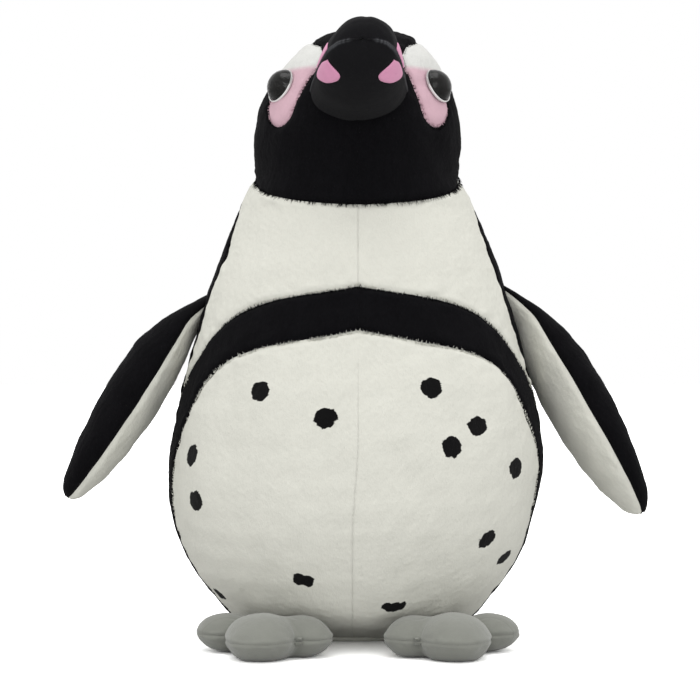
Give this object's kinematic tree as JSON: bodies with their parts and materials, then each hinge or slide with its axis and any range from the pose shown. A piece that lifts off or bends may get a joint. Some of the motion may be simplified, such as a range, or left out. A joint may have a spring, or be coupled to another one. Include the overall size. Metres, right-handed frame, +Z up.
{
  "type": "plush penguin",
  "caption": "Upright plush penguin with a stuffed body, turning head, beak, safety eyes, hinged flippers, toed feet and a small tail.",
  "frame": {"origin": "middle of the flat base panel, where the toy rests", "axes": "+Z up, the toy faces -Y, +X to the toy's own left"},
  "size_m": [0.2402, 0.1681, 0.251],
  "materials": {
    "cream_pile": "matte",
    "black_pile": "matte",
    "brow_pile": "matte",
    "black_velour": "matte",
    "pink_velour": "matte",
    "grey_velour": "matte",
    "eye_plastic": "gloss",
    "washer_plastic": "satin",
    "fibre_fill": "matte",
    "pellet_cloth": "matte"
  },
  "bodies": {
    "torso": {"base_panel": "cream_pile", "belly_panel_left": "cream_pile", "belly_panel_right": "cream_pile", "breast_band_left": "black_pile", "breast_band_right": "black_pile", "chest_panel_left": "cream_pile", "chest_panel_right": "cream_pile", "back_panel_left": "black_pile", "back_panel_right": "black_pile", "body_stuffing": "fibre_fill", "pellet_bag": "pellet_cloth"},
    "head": {"face_panel_left": "black_pile", "face_panel_right": "black_pile", "brow_panel_left": "brow_pile", "brow_panel_right": "brow_pile", "crown_panel_left": "black_pile", "crown_panel_right": "black_pile", "head_stuffing": "fibre_fill", "beak_upper": "black_velour", "beak_lower": "black_velour", "beak_stuffing": "fibre_fill", "beak_patch_upper_left": "pink_velour", "beak_patch_upper_right": "pink_velour", "beak_patch_lower_left": "pink_velour", "beak_patch_lower_right": "pink_velour", "eye_left": "eye_plastic", "eye_right": "eye_plastic", "eye_washer_left": "washer_plastic", "eye_washer_right": "washer_plastic"},
    "flipper_left": {"flipper_outer_left": "black_pile", "flipper_inner_left": "cream_pile", "flipper_stuffing_left": "fibre_fill"},
    "flipper_right": {"flipper_outer_right": "black_pile", "flipper_inner_right": "cream_pile", "flipper_stuffing_right": "fibre_fill"},
    "foot_left": {"foot_upper_left": "grey_velour", "foot_sole_left": "grey_velour", "foot_stuffing_left": "fibre_fill"},
    "foot_right": {"foot_upper_right": "grey_velour", "foot_sole_right": "grey_velour", "foot_stuffing_right": "fibre_fill"},
    "tail": {"tail_upper": "black_pile", "tail_under": "black_pile", "tail_stuffing": "fibre_fill"}
  },
  "joints": [
    {"name": "neck_turn", "type": "hinge", "parent": "torso", "child": "head", "pos_m": [0, 0.001, 0.1893], "axis": [0, -0.3022, 0.9533], "range_deg": [-20, 20], "stiffness_Nm_per_rad": 0.35},
    {"name": "flipper_left_swing", "type": "hinge", "parent": "torso", "child": "flipper_left", "pos_m": [0.0673, 0, 0.134], "axis": [0, -1, 0], "range_deg": [-5, 60], "stiffness_Nm_per_rad": 0.08},
    {"name": "flipper_right_swing", "type": "hinge", "parent": "torso", "child": "flipper_right", "pos_m": [-0.0673, 0, 0.134], "axis": [0, 1, 0], "range_deg": [-5, 60], "stiffness_Nm_per_rad": 0.08},
    {"name": "foot_left_flex", "type": "hinge", "parent": "torso", "child": "foot_left", "pos_m": [0.036, -0.042, 0.0065], "axis": [-1, 0, 0], "range_deg": [-20, 6], "stiffness_Nm_per_rad": 0.12},
    {"name": "foot_right_flex", "type": "hinge", "parent": "torso", "child": "foot_right", "pos_m": [-0.036, -0.042, 0.0065], "axis": [-1, 0, 0], "range_deg": [-20, 6], "stiffness_Nm_per_rad": 0.12},
    {"name": "tail_flex", "type": "hinge", "parent": "torso", "child": "tail", "pos_m": [0, 0.0575, 0.018], "axis": [1, 0, 0], "range_deg": [-6, 20], "stiffness_Nm_per_rad": 0.05}
  ]
}
